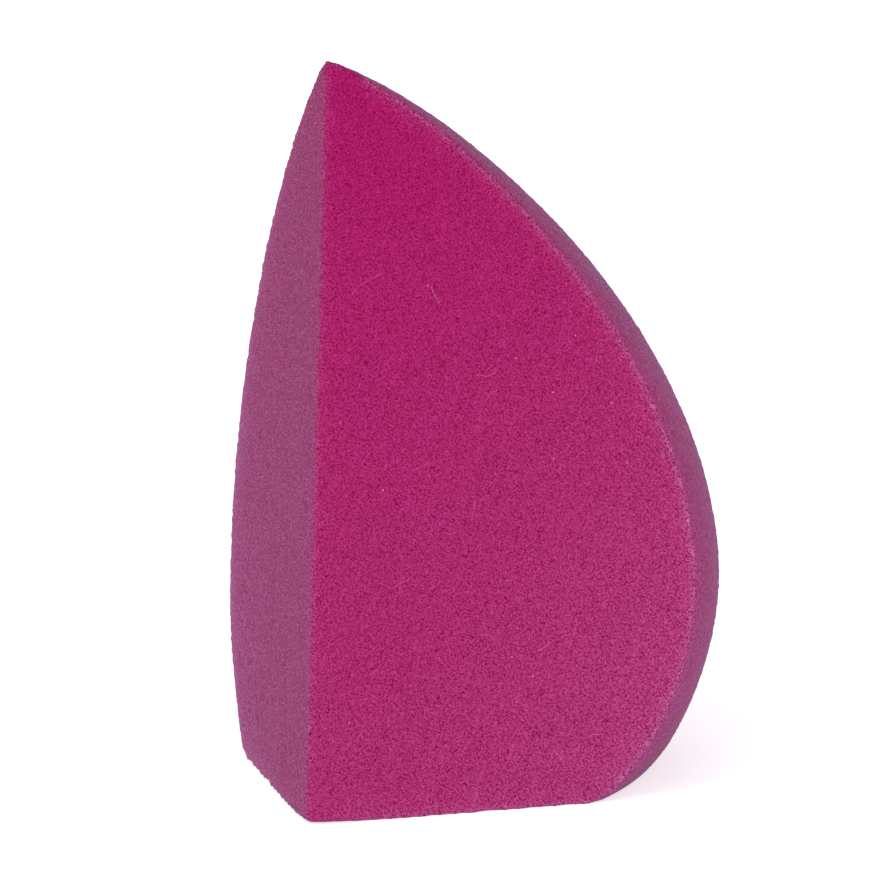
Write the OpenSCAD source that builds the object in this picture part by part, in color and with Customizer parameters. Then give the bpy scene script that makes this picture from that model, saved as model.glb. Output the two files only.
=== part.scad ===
// Makeup sponge: one piece of fine foam, a teardrop turned about its tip,
// cut by two flat faces that meet in a leaning front edge, and flat underneath.
// The front edge looks along -Y, and the sponge stands on Z = 0.

/* [Teardrop] */
// Height from the flat base to the tip
body_h = 60; // [52:1:70]
// Radius of the belly, the widest ring
belly_r = 26.7; // [24:0.1:30]
// Height of the belly above the base
belly_z = 17.3; // [14:0.1:21]
// Radius of the base, out to where its rim would be sharp
base_r = 19.3; // [17:0.1:22]
// Angle between the axis and the side just below the tip
tip_angle = 62; // [50:1:70]
// Angle between the axis and the side just above the base
base_angle = 55; // [45:1:65]

/* [Cut faces] */
// Distance from the axis to the foot of the front edge
edge_foot = 12.8; // [9:0.1:15]
// Angle between the two cut faces, measured square to the front edge
cut_angle = 113; // [95:1:130]

/* [Softened edges] */
// Radius along the front edge
edge_r = 1; // [0.5:0.1:2]
// Radius round the rim of the base
rim_r = 1.2; // [0.5:0.1:2]
// Radius at the tip
tip_r = 0.8; // [0.4:0.1:1.5]

/* [Hidden] */
$fn = 96;
foam_colour = "#AA2A69";
// How far the cutting prism runs past the teardrop
overrun = 3;

// Handles of the side's two curves, as shares of the sizes that they follow
tip_pull_share = 0.43;
shoulder_pull_share = 0.45;
belly_pull_share = 0.5;
base_pull_share = 0.3;

// Steps along each stretch of the teardrop's outline
tip_steps = 4;
shoulder_steps = 30;
flank_steps = 16;
rim_steps = 5;

// Outline points are [radius, height]. A step of some length, leaning out from straight up
function leaning(angle, length) = length * [sin(angle), cos(angle)];

// Points of a cubic curve, from its first end up to but not at its last
function curve(a, b, c, d, steps) = [
    for (i = [0 : steps - 1])
        let (t = i / steps, s = 1 - t)
        s * s * s * a + 3 * s * s * t * b + 3 * s * t * t * c + t * t * t * d
];

// Points of an arc from one angle to another, up to but not at the last
function arc(centre, r, from, to, steps) = [
    for (i = [0 : steps - 1])
        let (a = from + (to - from) * i / steps)
        centre + r * [cos(a), sin(a)]
];

// The tip's arc leaves the axis square and meets the side at its own angle
tip_centre = [0, body_h - tip_r];
tip_end = tip_centre + tip_r * [cos(tip_angle), sin(tip_angle)];

// The rim's arc joins the side to the flat base
rim_reach = rim_r * tan((90 - base_angle) / 2);
rim_centre = [base_r - rim_reach, rim_r];
rim_start = rim_centre + rim_r * [cos(base_angle), -sin(base_angle)];
rim_end = [base_r - rim_reach, 0];

// Between them the side swells to the belly, where it stands upright
belly = [belly_r, belly_z];
shoulder_handle = belly + [0, shoulder_pull_share * (body_h - belly_z)];
flank_handle = belly - [0, belly_pull_share * belly_z];
tip_handle = tip_end + leaning(180 - tip_angle, tip_pull_share * belly_r);
base_handle = rim_start + leaning(base_angle, base_pull_share * (belly_r - base_r));

outline = concat(
    arc(tip_centre, tip_r, 90, tip_angle, tip_steps),
    curve(tip_end, tip_handle, shoulder_handle, belly, shoulder_steps),
    curve(belly, flank_handle, base_handle, rim_start, flank_steps),
    arc(rim_centre, rim_r, -base_angle, -90, rim_steps),
    [rim_end, [0, 0]]
);

// The front edge leans back from its foot to the tip
lean = atan(edge_foot / body_h);
half_cut = cut_angle / 2;
edge_centre_y = edge_r / sin(half_cut);
edge_tangent = edge_r / tan(half_cut) * [sin(half_cut), cos(half_cut)];

// Where the softened front edge and the back stand, seen from above
front_y = (edge_centre_y - edge_r) / cos(lean) - edge_foot;
back_y = belly_r;
centre_y = (front_y + back_y) / 2;

module teardrop() {
    rotate_extrude() polygon(outline);
}

// Section of the space between the two cut faces, with its front edge at the origin
module cut_section() {
    side_x = belly_r + overrun;
    side_y = side_x / tan(half_cut);
    far_y = belly_r + edge_foot + overrun;
    polygon([
        edge_tangent,
        [side_x, side_y],
        [side_x, far_y],
        [-side_x, far_y],
        [-side_x, side_y],
        [-edge_tangent[0], edge_tangent[1]]
    ]);
    translate([0, edge_centre_y]) circle(edge_r);
}

module cut_prism() {
    translate([0, -edge_foot, 0])
        rotate([-lean, 0, 0])
            translate([0, 0, -overrun])
                linear_extrude(body_h + belly_r + edge_foot + overrun) cut_section();
}

module foam_body() {
    color(foam_colour)
        translate([0, -centre_y, 0])
            intersection() {
                teardrop();
                cut_prism();
            }
}

foam_body();
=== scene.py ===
import math

import bmesh
import bpy
from mathutils import Matrix, Vector
from mathutils.kdtree import KDTree


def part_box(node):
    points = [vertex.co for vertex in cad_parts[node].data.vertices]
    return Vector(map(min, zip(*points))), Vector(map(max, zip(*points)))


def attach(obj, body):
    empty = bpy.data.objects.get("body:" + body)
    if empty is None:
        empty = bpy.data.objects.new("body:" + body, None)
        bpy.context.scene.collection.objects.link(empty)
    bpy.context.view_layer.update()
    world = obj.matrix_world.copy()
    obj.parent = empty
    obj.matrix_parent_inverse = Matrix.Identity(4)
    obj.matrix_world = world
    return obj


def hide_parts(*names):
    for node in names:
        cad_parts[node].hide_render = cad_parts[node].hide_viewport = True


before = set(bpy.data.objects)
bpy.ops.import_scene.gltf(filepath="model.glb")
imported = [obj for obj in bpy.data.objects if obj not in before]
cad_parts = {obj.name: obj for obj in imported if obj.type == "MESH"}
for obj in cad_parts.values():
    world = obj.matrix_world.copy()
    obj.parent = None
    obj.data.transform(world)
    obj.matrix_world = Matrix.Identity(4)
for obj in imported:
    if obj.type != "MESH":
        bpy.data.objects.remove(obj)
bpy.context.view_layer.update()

bl_info = {
    "name": "Makeup sponge",
    "version": (1, 0, 0),
    "blender": (4, 5, 0),
    "location": "View3D > Sidebar > Sponge",
    "description": "Models a cut foam teardrop and its studio",
    "category": "Add Mesh",
}

MM = 0.001
NODE = "foam_body"
EDGE_ATTRIBUTE = "edge_distance"
NODE_LOW, NODE_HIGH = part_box(NODE)

# The photograph's side in pixels, and the width of the camera's sensor in millimetres
PHOTO_PIXELS = 876
SENSOR = 36.0

# Where each lamp stands as seen from the sponge, in degrees and metres, and how wide it is
LAMPS = {
    "top": {"azimuth": 30, "elevation": 80, "distance": 0.9, "size": 0.6},
    "low": {"azimuth": 60, "elevation": 8, "distance": 0.6, "size": 0.3},
    "side": {"azimuth": -30, "elevation": 20, "distance": 0.7, "size": 0.4},
    "back": {"azimuth": 232, "elevation": 12, "distance": 0.7, "size": 0.3},
}

# Roll of the cells' pattern about the direction in which the foam rose, in radians
CELL_ROLL = 0.6

# Soft steps from none to full of the painted sheen and the painted rim highlight: the noise of a fleck,
# and how squarely a face is to the rise
SHEEN_FLECK_NOISE = (0.45, 0.85)
SHEEN_FACING = (0.6, 0.25)
RIM_LIGHT_FACING = (0.25, 0.1)

# The painted edge highlight's share at the front edge itself, and how fast it grows from there to the
# sides
FRONT_HIGHLIGHT = 0.3
FRONT_HIGHLIGHT_GAIN = 0.25 / MM

# Specks lie near the middles of wide cells, where a second noise lets them show
SPECK_CELL = 1.8 * MM
SPECK_RADII = (0.055, 0.02)
SPECK_PATCH = 1.1 * MM
SPECK_NOISE = (0.35, 0.7)

# Fibres follow the lines along which a slow noise is halfway, where a second noise lets them show
FIBRE_BEND = 5 * MM
FIBRE_WIDTHS = (0.003, 0.0005)
FIBRE_PATCH = 2.5 * MM
FIBRE_NOISE = (0.66, 0.7)
FIBRE_STRENGTH = 0.24


def length(name, description, millimetres):
    """A size that a user may change, given in millimetres and kept in metres."""
    return bpy.props.FloatProperty(
        name=name, description=description, default=millimetres * MM, min=0, precision=5, unit="LENGTH"
    )


def turn(name, description, degrees):
    """An angle that a user may change, given in degrees and kept in radians."""
    return bpy.props.FloatProperty(
        name=name, description=description, default=math.radians(degrees), subtype="ANGLE"
    )


def share(name, description, default, most=1.0):
    """A plain number from 0 up."""
    return bpy.props.FloatProperty(name=name, description=description, default=default, min=0, max=most)


def power(name, description, watts):
    """The power of a lamp."""
    return bpy.props.FloatProperty(name=name, description=description, default=watts, min=0, unit="POWER")


def colour(name, description, red, green, blue):
    """A colour, given as it looks on a screen, from 0 to 255."""
    return bpy.props.FloatVectorProperty(
        name=name, description=description, subtype="COLOR", size=3, min=0, max=1,
        default=[linear(level / 255) for level in (red, green, blue)],
    )


def linear(level):
    """A screen level as the amount of light that it stands for."""
    return level / 12.92 if level <= 0.04045 else ((level + 0.055) / 1.055) ** 2.4


class SpongeShape(bpy.types.PropertyGroup):
    """Sizes of the foam body."""

    belly_radius: length("Belly radius", "Radius at the widest ring", 26.7)
    belly_height: length("Belly height", "Height of the widest ring above the base", 17.3)
    base_radius: length("Base radius", "Radius of the base, out to where its rim would be sharp", 19.3)
    rim_radius: length("Rim radius", "Radius that softens the rim of the base", 1.2)
    tip_angle: turn("Tip angle", "Angle between the axis and the side below the tip", 62)
    base_angle: turn("Base angle", "Angle between the axis and the side above the base", 55)
    tip_pull: share("Tip pull", "Handle at the tip, as a share of the belly's radius", 0.43)
    shoulder_pull: share(
        "Shoulder pull", "Handle above the belly, as a share of the height from there", 0.45
    )
    flank_pull: share("Flank pull", "Handle below the belly, as a share of its height", 0.5)
    base_pull: share("Base pull", "Handle at the base, as a share of the belly's overhang", 0.3)
    edge_foot: length("Foot of the edge", "Distance from the axis to the foot of the front edge", 13.1)
    cut_angle: turn("Cut angle", "Angle between the cut faces, square to the front edge", 111.4)
    edge_radius: length("Edge radius", "Radius along the front edge", 0.6)


class SpongeFoam(bpy.types.PropertyGroup):
    """Grain and colours of the foam, with its painted shade, highlights, light and sheen."""

    mesh_size: length("Mesh size", "Side of the surface's small faces", 0.33)
    soften_steps: bpy.props.IntProperty(
        name="Softening", description="Rounds of smoothing that soften the cut edges", default=6, min=0
    )
    tip_reach: length("Tip reach", "Distance from the tip over which the softening fades in", 5)
    foot_steps: bpy.props.IntProperty(
        name="Foot softening", description="Further rounds that blunt the foot of the front edge",
        default=42, min=0,
    )
    foot_reach: length("Foot reach", "Distance from that foot over which they fade out", 5)
    swell_size: length("Swell size", "Distance between the slow swells of the surface", 14)
    swell_depth: length("Swell depth", "Depth of the slow swells", 0.15)
    grain_size: length("Grain size", "Distance between the coarse grains", 0.3)
    grain_depth: length("Grain depth", "Depth between the coarse grains", 0.2)
    wall_size: length("Wall size", "Size of the cell walls' pale and dark stretches", 0.14)
    wall_contrast: share("Wall contrast", "How much the cell walls vary", 2.1, 5)
    rise_turn: turn("Rise direction", "Turn of the direction in which the foam rose", 56.5)
    rise_stretch: share(
        "Cell stretch", "How much longer cells are in the direction in which the foam rose", 2.4, 10
    )
    # Painted sheen: pale flecks on the faces that run along the rise, where light catches the foam at a
    # low angle
    sheen_fleck_size: length(
        "Frost size", "Size of the pale flecks where cell walls are seen from the side", 0.12
    )
    painted_sheen: share("Frost", "How pale those flecks are", 0.26)
    clump_size: length("Clump size", "Size of clumps of cells", 0.5)
    clump_contrast: share("Clump contrast", "How much clumps of cells vary", 0.1, 5)
    mottle_size: length("Mottle size", "Size of the slow mottling", 1.8)
    mottle_contrast: share("Mottle contrast", "How much the slow mottling varies", 0.06, 5)
    pit_depth: length("Pit depth", "Depth of the open cells", 0.03)
    paleness: share("Paleness", "Where the foam lies between its pits' colour and its walls'", 0.43)
    wall_colour: colour("Cell walls", "Colour of the cells' rims", 198, 31, 122)
    # The pits' darker colour is partly the foam's grain and partly painted shade inside the open cells
    pit_grain_and_shade: colour("Pits", "Colour inside the open cells", 139, 0, 63)
    # Painted light: the foam is painted paler towards the foot and the sides, for how the light falls
    # there
    painted_light_foot_and_sides: share("Bloom", "How much paler the foam is where it is handled most", 0.115)
    # Colour of that painted light and of the painted edge highlight
    painted_light_colour: colour("Bloom colour", "Colour that the handled places fade towards", 242, 178, 242)
    # Painted highlight: paler along the sharp edges, where light catches their rounding
    edge_highlight_reach: length("Edge reach", "How far the bloom along the edges spreads", 0.2)
    painted_edge_highlight: share("Edge bloom", "How much paler the foam is along the edges", 0.8)
    # Painted highlight: a paler band along the side faces' outer edges, where light catches their
    # rounding
    rim_light_reach: length("Fuzz reach", "How far the frost spreads from the sides' edges", 1.5)
    painted_rim_light: share("Fuzz", "How pale the frost is along the sides' edges", 0.35)
    # Colour of the painted sheen and of the painted highlight along the side edges
    painted_sheen_colour: colour("Frost colour", "Colour of the pale flecks", 255, 188, 235)
    speck_colour: colour("Specks", "Colour of the pale specks", 240, 170, 205)
    sheen: share("Sheen", "Strength of the soft sheen at a low angle", 0.24)
    sheen_roughness: share("Sheen roughness", "Spread of the sheen", 0.5)
    sheen_tint: colour("Sheen tint", "Colour of the sheen", 205, 214, 255)
    gloss: share("Gloss", "Strength of the faint gloss on the cell walls", 0.0)


class SpongeStudio(bpy.types.PropertyGroup):
    """Camera and lights."""

    azimuth: turn("Azimuth", "Camera's turn from the front edge towards the right", 43.57)
    elevation: turn("Elevation", "Camera's height angle above the floor", 13.0)
    roll: turn("Roll", "Camera's roll, which leans the sponge in the picture", -6.87)
    distance: length("Distance", "From the camera to the middle of the teardrop's axis", 600)
    focal_pixels: bpy.props.FloatProperty(
        name="Focal length", description="Focal length in pixels of the photograph", default=7457.0
    )
    axis_pixel: bpy.props.FloatVectorProperty(
        name="Axis in the picture", description="Pixel at which the middle of the axis shows", size=2,
        default=(370.3, 424.6),
    )
    floor_colour: colour("Floor", "Colour of the floor", 244, 244, 246)
    floor_lift: share("Floor lift", "How much lighter the camera sees the floor", 0.6)
    sky_colour: colour("Room light", "Colour of the light from all round", 240, 245, 255)
    sky_strength: share("Room light strength", "Strength of the light from all round", 0.4, 10)
    top_power: power("Top light", "Power of the large light overhead", 0.76)
    low_power: power("Low light", "Power of the low front light", 1.93)
    side_power: power("Side light", "Power of the light from the left", 1.28)
    back_power: power("Back light", "Power of the light behind the sponge", 1.2)


class Outline:
    """Half section of the teardrop, as knots of a curve in the plane of radius and height."""

    def __init__(self, shape):
        self.height = NODE_HIGH.z
        self.axis_y = NODE_HIGH.y - shape.belly_radius
        self.knots = self.make_knots(shape)

    def make_knots(self, shape):
        """Each knot is its point with the handles before and after it."""
        tip = Vector((0, self.height))
        down_side = Vector((math.sin(shape.tip_angle), -math.cos(shape.tip_angle)))
        belly = Vector((shape.belly_radius, shape.belly_height))
        shoulder = Vector((0, shape.shoulder_pull * (self.height - shape.belly_height)))
        flank = Vector((0, shape.flank_pull * shape.belly_height))
        up_side = Vector((math.sin(shape.base_angle), math.cos(shape.base_angle)))
        rim_turn = math.pi / 2 - shape.base_angle
        rim_reach = shape.rim_radius * math.tan(rim_turn / 2)
        rim_handle = shape.rim_radius * 4 / 3 * math.tan(rim_turn / 4)
        rim_top = Vector((shape.base_radius, 0)) + rim_reach * up_side
        rim_foot = Vector((shape.base_radius - rim_reach, 0))
        base_pull = shape.base_pull * (shape.belly_radius - shape.base_radius)
        middle = Vector((0, 0))
        return [
            (tip, tip, tip + shape.tip_pull * shape.belly_radius * down_side),
            (belly, belly + shoulder, belly - flank),
            (rim_top, rim_top + base_pull * up_side, rim_top - rim_handle * up_side),
            (rim_foot, rim_foot + Vector((rim_handle, 0)), rim_foot.lerp(middle, 1 / 3)),
            (middle, rim_foot.lerp(middle, 2 / 3), middle),
        ]

    def place(self, point):
        """A point of the section, to the right of the axis, in the sponge's frame."""
        return Vector((point.x, self.axis_y, point.y))


def select_only(piece):
    """Makes piece the one selected and active object."""
    bpy.ops.object.select_all(action="DESELECT")
    piece.select_set(True)
    bpy.context.view_layer.objects.active = piece


def apply_modifier(piece, kind, **settings):
    """Adds a modifier with these settings and applies it."""
    modifier = piece.modifiers.new(kind.title(), kind)
    for name, value in settings.items():
        setattr(modifier, name, value)
    select_only(piece)
    bpy.ops.object.modifier_apply(modifier=modifier.name)


def draw_section(outline):
    """Draws the half section as a smooth curve and turns it into a line of mesh edges."""
    steps = 32
    bpy.ops.curve.primitive_bezier_curve_add()
    section = bpy.context.object
    spline = section.data.splines[0]
    spline.bezier_points.add(len(outline.knots) - len(spline.bezier_points))
    for knot, (point, before, after) in zip(spline.bezier_points, outline.knots):
        knot.handle_left_type = knot.handle_right_type = "FREE"
        knot.co = outline.place(point)
        knot.handle_left = outline.place(before)
        knot.handle_right = outline.place(after)
    section.data.resolution_u = steps
    bpy.ops.object.convert(target="MESH")
    return bpy.context.object


def spin_teardrop(section, outline):
    """Spins the section round the axis into a closed teardrop."""
    steps = 180
    select_only(section)
    bpy.ops.object.mode_set(mode="EDIT")
    bpy.ops.mesh.select_all(action="SELECT")
    bpy.ops.mesh.spin(steps=steps, angle=math.tau, center=(0, outline.axis_y, 0), axis=(0, 0, 1))
    bpy.ops.mesh.select_all(action="SELECT")
    bpy.ops.mesh.remove_doubles(threshold=0.001 * MM)
    bpy.ops.mesh.normals_make_consistent(inside=False)
    bpy.ops.object.mode_set(mode="OBJECT")


def cut_faces(body, shape, outline):
    """Cuts both flat faces, which meet in the front edge, and returns that edge's ends."""
    foot = Vector((0, outline.axis_y - shape.edge_foot, 0))
    tip = Vector((0, outline.axis_y, outline.height))
    lean = math.atan2(tip.y - foot.y, tip.z - foot.z)
    half = shape.cut_angle / 2
    bpy.ops.object.mode_set(mode="EDIT")
    for side in (-1, 1):
        outward = Matrix.Rotation(-lean, 3, "X") @ Vector((side * math.cos(half), -math.sin(half), 0))
        bpy.ops.mesh.select_all(action="SELECT")
        bpy.ops.mesh.bisect(plane_co=foot, plane_no=outward, use_fill=True, clear_outer=True)
    bpy.ops.object.mode_set(mode="OBJECT")
    return foot, tip


def round_front_edge(body, shape, foot, tip):
    """Bevels the edge between the cut faces to its radius."""
    near = 0.01 * MM
    along = (tip - foot).normalized()
    mesh = body.data
    bpy.ops.object.mode_set(mode="EDIT")
    bpy.ops.mesh.select_mode(type="EDGE")
    bpy.ops.mesh.select_all(action="DESELECT")
    bpy.ops.object.mode_set(mode="OBJECT")
    on_line = [(vertex.co - foot).cross(along).length < near for vertex in mesh.vertices]
    for edge in mesh.edges:
        edge.select = all(on_line[index] for index in edge.vertices)
    bpy.ops.object.mode_set(mode="EDIT")
    bpy.ops.mesh.bevel(
        offset=shape.edge_radius / math.tan(shape.cut_angle / 2), segments=8, affect="EDGES"
    )
    bpy.ops.object.mode_set(mode="OBJECT")


def trace_edges(body):
    """Points along the sharp edges, close together, to look up how near a place is to an edge."""
    sharp = math.radians(25)
    spacing = 0.2 * MM
    model = bmesh.new()
    model.from_mesh(body.data)
    points = []
    for edge in model.edges:
        if edge.calc_face_angle(0) > sharp:
            start, end = (vertex.co for vertex in edge.verts)
            steps = math.ceil(edge.calc_length() / spacing)
            points += [start.lerp(end, step / steps) for step in range(steps + 1)]
    model.free()
    tree = KDTree(len(points))
    for index, point in enumerate(points):
        tree.insert(point, index)
    tree.balance()
    return tree


def note_edge_distance(body, edges):
    """Keeps each vertex's distance to the nearest sharp edge for the material."""
    distances = [edges.find(vertex.co)[2] for vertex in body.data.vertices]
    attribute = body.data.attributes.new(EDGE_ATTRIBUTE, "FLOAT", "POINT")
    attribute.data.foreach_set("value", distances)


def foam_texture(name, kind, size):
    """A cloudy or cellular pattern with features of this size."""
    texture = bpy.data.textures.new(name, kind)
    texture.noise_scale = size
    return texture


def add_group(body, name, weight_at):
    """A vertex group whose weights follow the vertices' places."""
    group = body.vertex_groups.new(name=name)
    for vertex in body.data.vertices:
        group.add([vertex.index], weight_at(vertex.co), "REPLACE")
    return group.name


def roughen(body, foot, tip, foam):
    """Evens the mesh out, softens its edges and gives its surface slow swells and a fine grain."""
    base_fade = 2 * MM
    apply_modifier(body, "REMESH", mode="VOXEL", voxel_size=foam.mesh_size, use_smooth_shade=True)
    soft = add_group(body, "soft", lambda place: min(1.0, (place - tip).length / foam.tip_reach))
    apply_modifier(body, "SMOOTH", factor=0.5, iterations=foam.soften_steps, vertex_group=soft)
    blunt = add_group(
        body, "blunt", lambda place: max(0.0, 1 - (place - foot).length / foam.foot_reach)
    )
    apply_modifier(body, "SMOOTH", factor=0.5, iterations=foam.foot_steps, vertex_group=blunt)
    skin = add_group(body, "skin", lambda place: min(1.0, place.z / base_fade))
    swell = foam_texture("swell", "CLOUDS", foam.swell_size)
    swell.noise_depth = 0
    grain = foam_texture("grain", "CLOUDS", foam.grain_size)
    grain.noise_depth = 1
    for texture, depth in ((swell, foam.swell_depth), (grain, foam.grain_depth)):
        apply_modifier(
            body, "DISPLACE", texture=texture, strength=depth, mid_level=0.4,
            texture_coords="LOCAL", vertex_group=skin,
        )


class Nodes:
    """Adds nodes to one material's or world's tree, and links them."""

    def __init__(self, owner):
        owner.use_nodes = True
        self.tree = owner.node_tree
        self.tree.nodes.clear()

    def add(self, kind, settings=None, **inputs):
        """A node of this kind. Inputs are numbers, colours or other nodes' outputs."""
        node = self.tree.nodes.new(kind)
        for name, value in (settings or {}).items():
            setattr(node, name, value)
        for name, value in inputs.items():
            self.set_input(node, name.replace("_", " "), value)
        return node

    def set_input(self, node, name, value):
        """Sets a socket, by name or by number, or links an output to it."""
        socket = node.inputs[name]
        if isinstance(value, bpy.types.NodeSocket):
            self.tree.links.new(value, socket)
        else:
            socket.default_value = value

    def math(self, operation, *values):
        """The result of a calculation with one to three numbers or outputs."""
        node = self.add("ShaderNodeMath", {"operation": operation})
        for index, value in enumerate(values):
            self.set_input(node, index, value)
        return node.outputs[0]

    def mix(self, amount, first, second):
        """A mix of two colours. A Mix node takes these in sockets 6 and 7, and gives it in socket 2."""
        node = self.add("ShaderNodeMix", {"data_type": "RGBA"})
        for index, value in ((0, amount), (6, first), (7, second)):
            self.set_input(node, index, value)
        return node.outputs[2]

    def band(self, value, none, full):
        """0 at none and beyond, and 1 at full and beyond, with a soft step between."""
        node = self.add("ShaderNodeMapRange", {"interpolation_type": "SMOOTHSTEP"})
        for index, number in enumerate((value, none, full)):
            self.set_input(node, index, number)
        return node.outputs[0]

    def noise(self, place, size, detail=1.0):
        """Cloudy noise about 0.5, with features of this size."""
        node = self.add("ShaderNodeTexNoise", Vector=place, Scale=1 / size, Detail=detail)
        return node.outputs[0]

    def cells(self, place, size):
        """Distance from the middle of the nearest cell, as a share of this cell size."""
        node = self.add("ShaderNodeTexVoronoi", {"feature": "F1"}, Vector=place, Scale=1 / size)
        return node.outputs["Distance"]


def rgba(colour_value):
    """A colour with full alpha, as sockets take it."""
    return (*colour_value, 1.0)


def foam_material(foam):
    """Dyed fine-cell foam: cell walls, slow mottling, a few specks and a low sheen, with painted shade in
    the pits, painted highlights along the edges, painted light towards the foot and sides, and painted
    sheen flecks.
    """
    material = bpy.data.materials.new("dyed_foam")
    nodes = Nodes(material)
    place = nodes.add("ShaderNodeTexCoord").outputs["Object"]
    rise = nodes.add(
        "ShaderNodeMapping", {"vector_type": "TEXTURE"}, Vector=place,
        Rotation=(CELL_ROLL, 0, foam.rise_turn - math.pi / 2), Scale=(foam.rise_stretch, 1, 1),
    ).outputs[0]
    distance = nodes.add("ShaderNodeAttribute", {"attribute_name": EDGE_ATTRIBUTE}).outputs["Fac"]
    across, _, up = nodes.add("ShaderNodeSeparateXYZ", Vector=place).outputs
    aside = nodes.math("ABSOLUTE", across)
    relief = cell_relief(nodes, place, rise, foam)
    paleness = nodes.math("ADD", relief, foam.paleness)
    # Low places take the pits' colour: partly grain, partly painted shade in the open cells
    tone = nodes.mix(paleness, rgba(foam.pit_grain_and_shade), rgba(foam.wall_colour))
    # Painted highlight along the edges and painted light towards the foot and sides
    painted_light = painted_light_share(nodes, distance, aside, up, foam)
    tone = nodes.mix(nodes.math("MULTIPLY", painted_light, paleness), tone, rgba(foam.painted_light_colour))
    # Painted sheen flecks and a painted highlight along the side edges
    painted_sheen = painted_sheen_share(nodes, rise, distance, aside, foam)
    tone = nodes.mix(painted_sheen, tone, rgba(foam.painted_sheen_colour))
    lint = nodes.math("MAXIMUM", speck_share(nodes, place), fibre_share(nodes, place))
    tone = nodes.mix(lint, tone, rgba(foam.speck_colour))
    bump = nodes.add("ShaderNodeBump", Strength=1.0, Distance=foam.pit_depth, Height=relief)
    shader = nodes.add(
        "ShaderNodeBsdfPrincipled", Base_Color=tone, Roughness=0.95, Normal=bump.outputs[0],
        Specular_IOR_Level=foam.gloss, Sheen_Weight=foam.sheen,
        Sheen_Roughness=foam.sheen_roughness, Sheen_Tint=rgba(foam.sheen_tint),
    )
    nodes.add("ShaderNodeOutputMaterial", Surface=shader.outputs[0])
    return material


def cell_relief(nodes, place, rise, foam):
    """Height of the cell walls and clumps about 0, which drives the bump and the colour: low places take
    the pits' colour, which is partly the foam's grain and partly painted shade in the open cells.
    """
    layers = (
        (nodes.noise(rise, foam.wall_size), foam.wall_contrast),
        (nodes.noise(place, foam.clump_size), foam.clump_contrast),
        (nodes.noise(place, foam.mottle_size), foam.mottle_contrast),
    )
    relief = 0.0
    for pattern, contrast in layers:
        cloud = nodes.math("SUBTRACT", pattern, 0.5)
        relief = nodes.math("MULTIPLY_ADD", cloud, contrast, relief)
    return relief


def edge_share(nodes, distance, reach, most):
    """Falls from most at an edge to a quarter of it at this reach."""
    nearness = nodes.math("DIVIDE", reach, nodes.math("ADD", distance, reach))
    return nodes.math("MULTIPLY", nodes.math("POWER", nearness, 2), most)


def painted_light_share(nodes, distance, aside, up, foam):
    """Painted highlight along the edges, less at the front edge, plus the painted light towards the foot
    and sides.
    """
    edge_highlight = edge_share(nodes, distance, foam.edge_highlight_reach, foam.painted_edge_highlight)
    grown = nodes.math("MULTIPLY_ADD", aside, FRONT_HIGHLIGHT_GAIN, FRONT_HIGHLIGHT)
    edge_highlight = nodes.math("MULTIPLY", edge_highlight, nodes.math("MINIMUM", grown, 1.0))
    return nodes.math("ADD", edge_highlight, painted_light_foot_and_sides_share(nodes, aside, up, foam.painted_light_foot_and_sides))


def painted_light_foot_and_sides_share(nodes, aside, up, most):
    """Painted light: grows from 0 at the tip to most at the foot, and to about twice that at the foot's
    sides.
    """
    downwards = nodes.math("MULTIPLY_ADD", up, -most / NODE_HIGH.z, most)
    sideways = nodes.math("POWER", nodes.math("DIVIDE", aside, NODE_HIGH.x), 2)
    return nodes.math("MULTIPLY", downwards, nodes.math("ADD", sideways, 1.0))


def painted_sheen_share(nodes, rise, distance, aside, foam):
    """Painted sheen as pale flecks, and a painted highlight along the side edges, on the faces that run
    along the direction in which the foam rose.
    """
    direction = (math.sin(foam.rise_turn), -math.cos(foam.rise_turn), 0)
    facing = nodes.add("ShaderNodeVectorMath", {"operation": "DOT_PRODUCT"})
    nodes.set_input(facing, 0, nodes.add("ShaderNodeNewGeometry").outputs["Normal"])
    nodes.set_input(facing, 1, direction)
    turned = nodes.math("ABSOLUTE", facing.outputs["Value"])
    sheen_flecks = nodes.band(nodes.noise(rise, foam.sheen_fleck_size, 0), *SHEEN_FLECK_NOISE)
    sheen_flecks = nodes.math("MULTIPLY", sheen_flecks, foam.painted_sheen)
    painted_sheen = nodes.math("MULTIPLY", nodes.band(turned, *SHEEN_FACING), sheen_flecks)
    # Painted highlight along the side edges, growing towards the sides
    painted_rim_light = edge_share(nodes, distance, foam.rim_light_reach, foam.painted_rim_light)
    painted_rim_light = nodes.math("MULTIPLY", painted_rim_light, nodes.math("DIVIDE", aside, NODE_HIGH.x))
    return nodes.math("MULTIPLY_ADD", nodes.band(turned, *RIM_LIGHT_FACING), painted_rim_light, painted_sheen)


def speck_share(nodes, place):
    """Small pale specks of all strengths."""
    middle = nodes.band(nodes.cells(place, SPECK_CELL), *SPECK_RADII)
    strength = nodes.band(nodes.noise(place, SPECK_PATCH, 0), *SPECK_NOISE)
    return nodes.math("MULTIPLY", middle, strength)


def fibre_share(nodes, place):
    """Short, faint and curved fibres."""
    off_line = nodes.math("SUBTRACT", nodes.noise(place, FIBRE_BEND, 0), 0.5)
    line = nodes.band(nodes.math("ABSOLUTE", off_line), *FIBRE_WIDTHS)
    stretch = nodes.band(nodes.noise(place, FIBRE_PATCH, 0), *FIBRE_NOISE)
    return nodes.math("MULTIPLY", nodes.math("MULTIPLY", line, stretch), FIBRE_STRENGTH)


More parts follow.
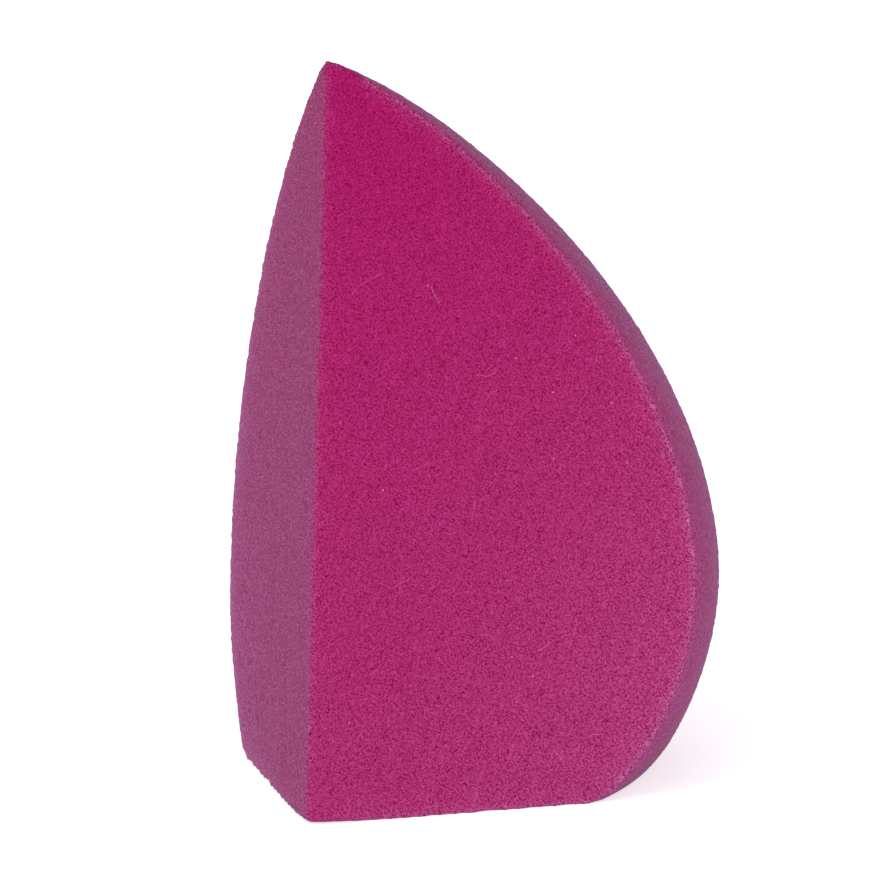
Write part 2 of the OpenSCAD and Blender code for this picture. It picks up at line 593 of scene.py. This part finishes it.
def floor_material(studio):
    """A pale matt floor, which the camera sees lighter, so that it is white around the shadow."""
    material = bpy.data.materials.new("pale_floor")
    nodes = Nodes(material)
    matt = nodes.add("ShaderNodeBsdfDiffuse", Color=rgba(studio.floor_colour))
    camera_ray = nodes.add("ShaderNodeLightPath").outputs["Is Camera Ray"]
    lift = nodes.math("MULTIPLY", camera_ray, studio.floor_lift)
    white = nodes.add("ShaderNodeEmission", Color=(1, 1, 1, 1), Strength=lift)
    both = nodes.add("ShaderNodeAddShader")
    nodes.set_input(both, 0, matt.outputs[0])
    nodes.set_input(both, 1, white.outputs[0])
    nodes.add("ShaderNodeOutputMaterial", Surface=both.outputs[0])
    return material


def light_room(studio):
    """Soft light from all round, with a white background for the camera."""
    world = bpy.data.worlds.new("studio_room")
    bpy.context.scene.world = world
    nodes = Nodes(world)
    room = nodes.add(
        "ShaderNodeBackground", Color=rgba(studio.sky_colour), Strength=studio.sky_strength
    )
    white = nodes.add("ShaderNodeBackground", Color=(1, 1, 1, 1), Strength=1.0)
    mixed = nodes.add("ShaderNodeMixShader")
    nodes.set_input(mixed, 0, nodes.add("ShaderNodeLightPath").outputs["Is Camera Ray"])
    nodes.set_input(mixed, 1, room.outputs[0])
    nodes.set_input(mixed, 2, white.outputs[0])
    nodes.add("ShaderNodeOutputWorld", Surface=mixed.outputs[0])


def bearing(azimuth, elevation):
    """Direction from the sponge. Azimuth 0 is in front of the edge, and 90 degrees is to the right."""
    level = Vector((math.sin(azimuth), -math.cos(azimuth), 0)) * math.cos(elevation)
    return level + Vector((0, 0, math.sin(elevation)))


def add_lamp(name, target, watts, azimuth, elevation, distance, size):
    """A square soft light that faces the target."""
    toward = bearing(math.radians(azimuth), math.radians(elevation))
    bpy.ops.object.light_add(type="AREA", location=target + distance * toward)
    lamp = bpy.context.object
    lamp.name = name
    lamp.rotation_euler = toward.to_track_quat("Z", "Y").to_euler()
    lamp.data.size = size
    lamp.data.energy = watts


def add_camera(studio, target):
    """Puts the camera where the photograph was taken from, looking at the middle of the picture."""
    back = bearing(studio.azimuth, studio.elevation)
    level_right = Vector((math.cos(studio.azimuth), math.sin(studio.azimuth), 0))
    level_up = back.cross(level_right)
    right = math.cos(studio.roll) * level_right + math.sin(studio.roll) * level_up
    up = back.cross(right)
    place = target + studio.distance * back
    step = studio.distance / studio.focal_pixels
    aside = (PHOTO_PIXELS / 2 - studio.axis_pixel[0]) * step
    below = (PHOTO_PIXELS / 2 - studio.axis_pixel[1]) * step
    out = (place - (target + aside * right - below * up)).normalized()
    side = up.cross(out).normalized()
    facing = Matrix((side, out.cross(side), out)).transposed()
    bpy.ops.object.camera_add()
    camera = bpy.context.object
    camera.matrix_world = Matrix.Translation(place) @ facing.to_4x4()
    camera.data.sensor_width = SENSOR
    camera.data.lens = studio.focal_pixels * SENSOR / PHOTO_PIXELS
    camera.data.clip_start = 10 * MM
    bpy.context.scene.camera = camera


class SPONGE_OT_add_body(bpy.types.Operator):
    """Model the cut foam teardrop."""

    bl_idname = "sponge.add_body"
    bl_label = "Add foam body"
    bl_options = {"REGISTER", "UNDO"}

    def execute(self, context):
        shape = context.scene.sponge_shape
        foam = context.scene.sponge_foam
        outline = Outline(shape)
        bpy.ops.object.select_all(action="DESELECT")
        body = draw_section(outline)
        spin_teardrop(body, outline)
        foot, tip = cut_faces(body, shape, outline)
        edges = trace_edges(body)
        round_front_edge(body, shape, foot, tip)
        roughen(body, foot, tip, foam)
        note_edge_distance(body, edges)
        body.name = body.data.name = "sponge_body"
        body.data.materials.clear()
        body.data.materials.append(foam_material(foam))
        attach(body, "root")
        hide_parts(NODE)
        return {"FINISHED"}


class SPONGE_OT_set_studio(bpy.types.Operator):
    """Lay the floor, place the lights and set the camera."""

    bl_idname = "sponge.set_studio"
    bl_label = "Set studio"
    bl_options = {"REGISTER", "UNDO"}

    def execute(self, context):
        studio = context.scene.sponge_studio
        axis_y = Outline(context.scene.sponge_shape).axis_y
        target = Vector((0, axis_y, NODE_HIGH.z / 2))
        bpy.ops.mesh.primitive_plane_add(size=8)
        floor = bpy.context.object
        floor.name = "floor"
        floor.data.materials.append(floor_material(studio))
        light_room(studio)
        for name, placing in LAMPS.items():
            add_lamp(f"{name}_light", target, getattr(studio, f"{name}_power"), **placing)
        add_camera(studio, target)
        context.scene.view_settings.view_transform = "Standard"
        return {"FINISHED"}


class SPONGE_PT_sidebar(bpy.types.Panel):
    """Lists what the sponge is made of."""

    bl_idname = "SPONGE_PT_sidebar"
    bl_label = "Makeup sponge"
    bl_space_type = "VIEW_3D"
    bl_region_type = "UI"
    bl_category = "Sponge"

    def draw(self, context):
        for operator in OPERATORS:
            self.layout.operator(operator.bl_idname)
        for group in GROUPS:
            box = self.layout.box()
            settings = getattr(context.scene, group)
            for name in settings.__annotations__:
                box.prop(settings, name)


OPERATORS = (SPONGE_OT_add_body, SPONGE_OT_set_studio)
GROUPS = {"sponge_shape": SpongeShape, "sponge_foam": SpongeFoam, "sponge_studio": SpongeStudio}
CLASSES = (*GROUPS.values(), *OPERATORS, SPONGE_PT_sidebar)


def register():
    for cls in CLASSES:
        bpy.utils.register_class(cls)
    for name, group in GROUPS.items():
        setattr(bpy.types.Scene, name, bpy.props.PointerProperty(type=group))


def unregister():
    for name in GROUPS:
        delattr(bpy.types.Scene, name)
    for cls in reversed(CLASSES):
        bpy.utils.unregister_class(cls)


def main():
    register()
    bpy.ops.sponge.add_body()
    bpy.ops.sponge.set_studio()


if __name__ == "__main__":
    main()
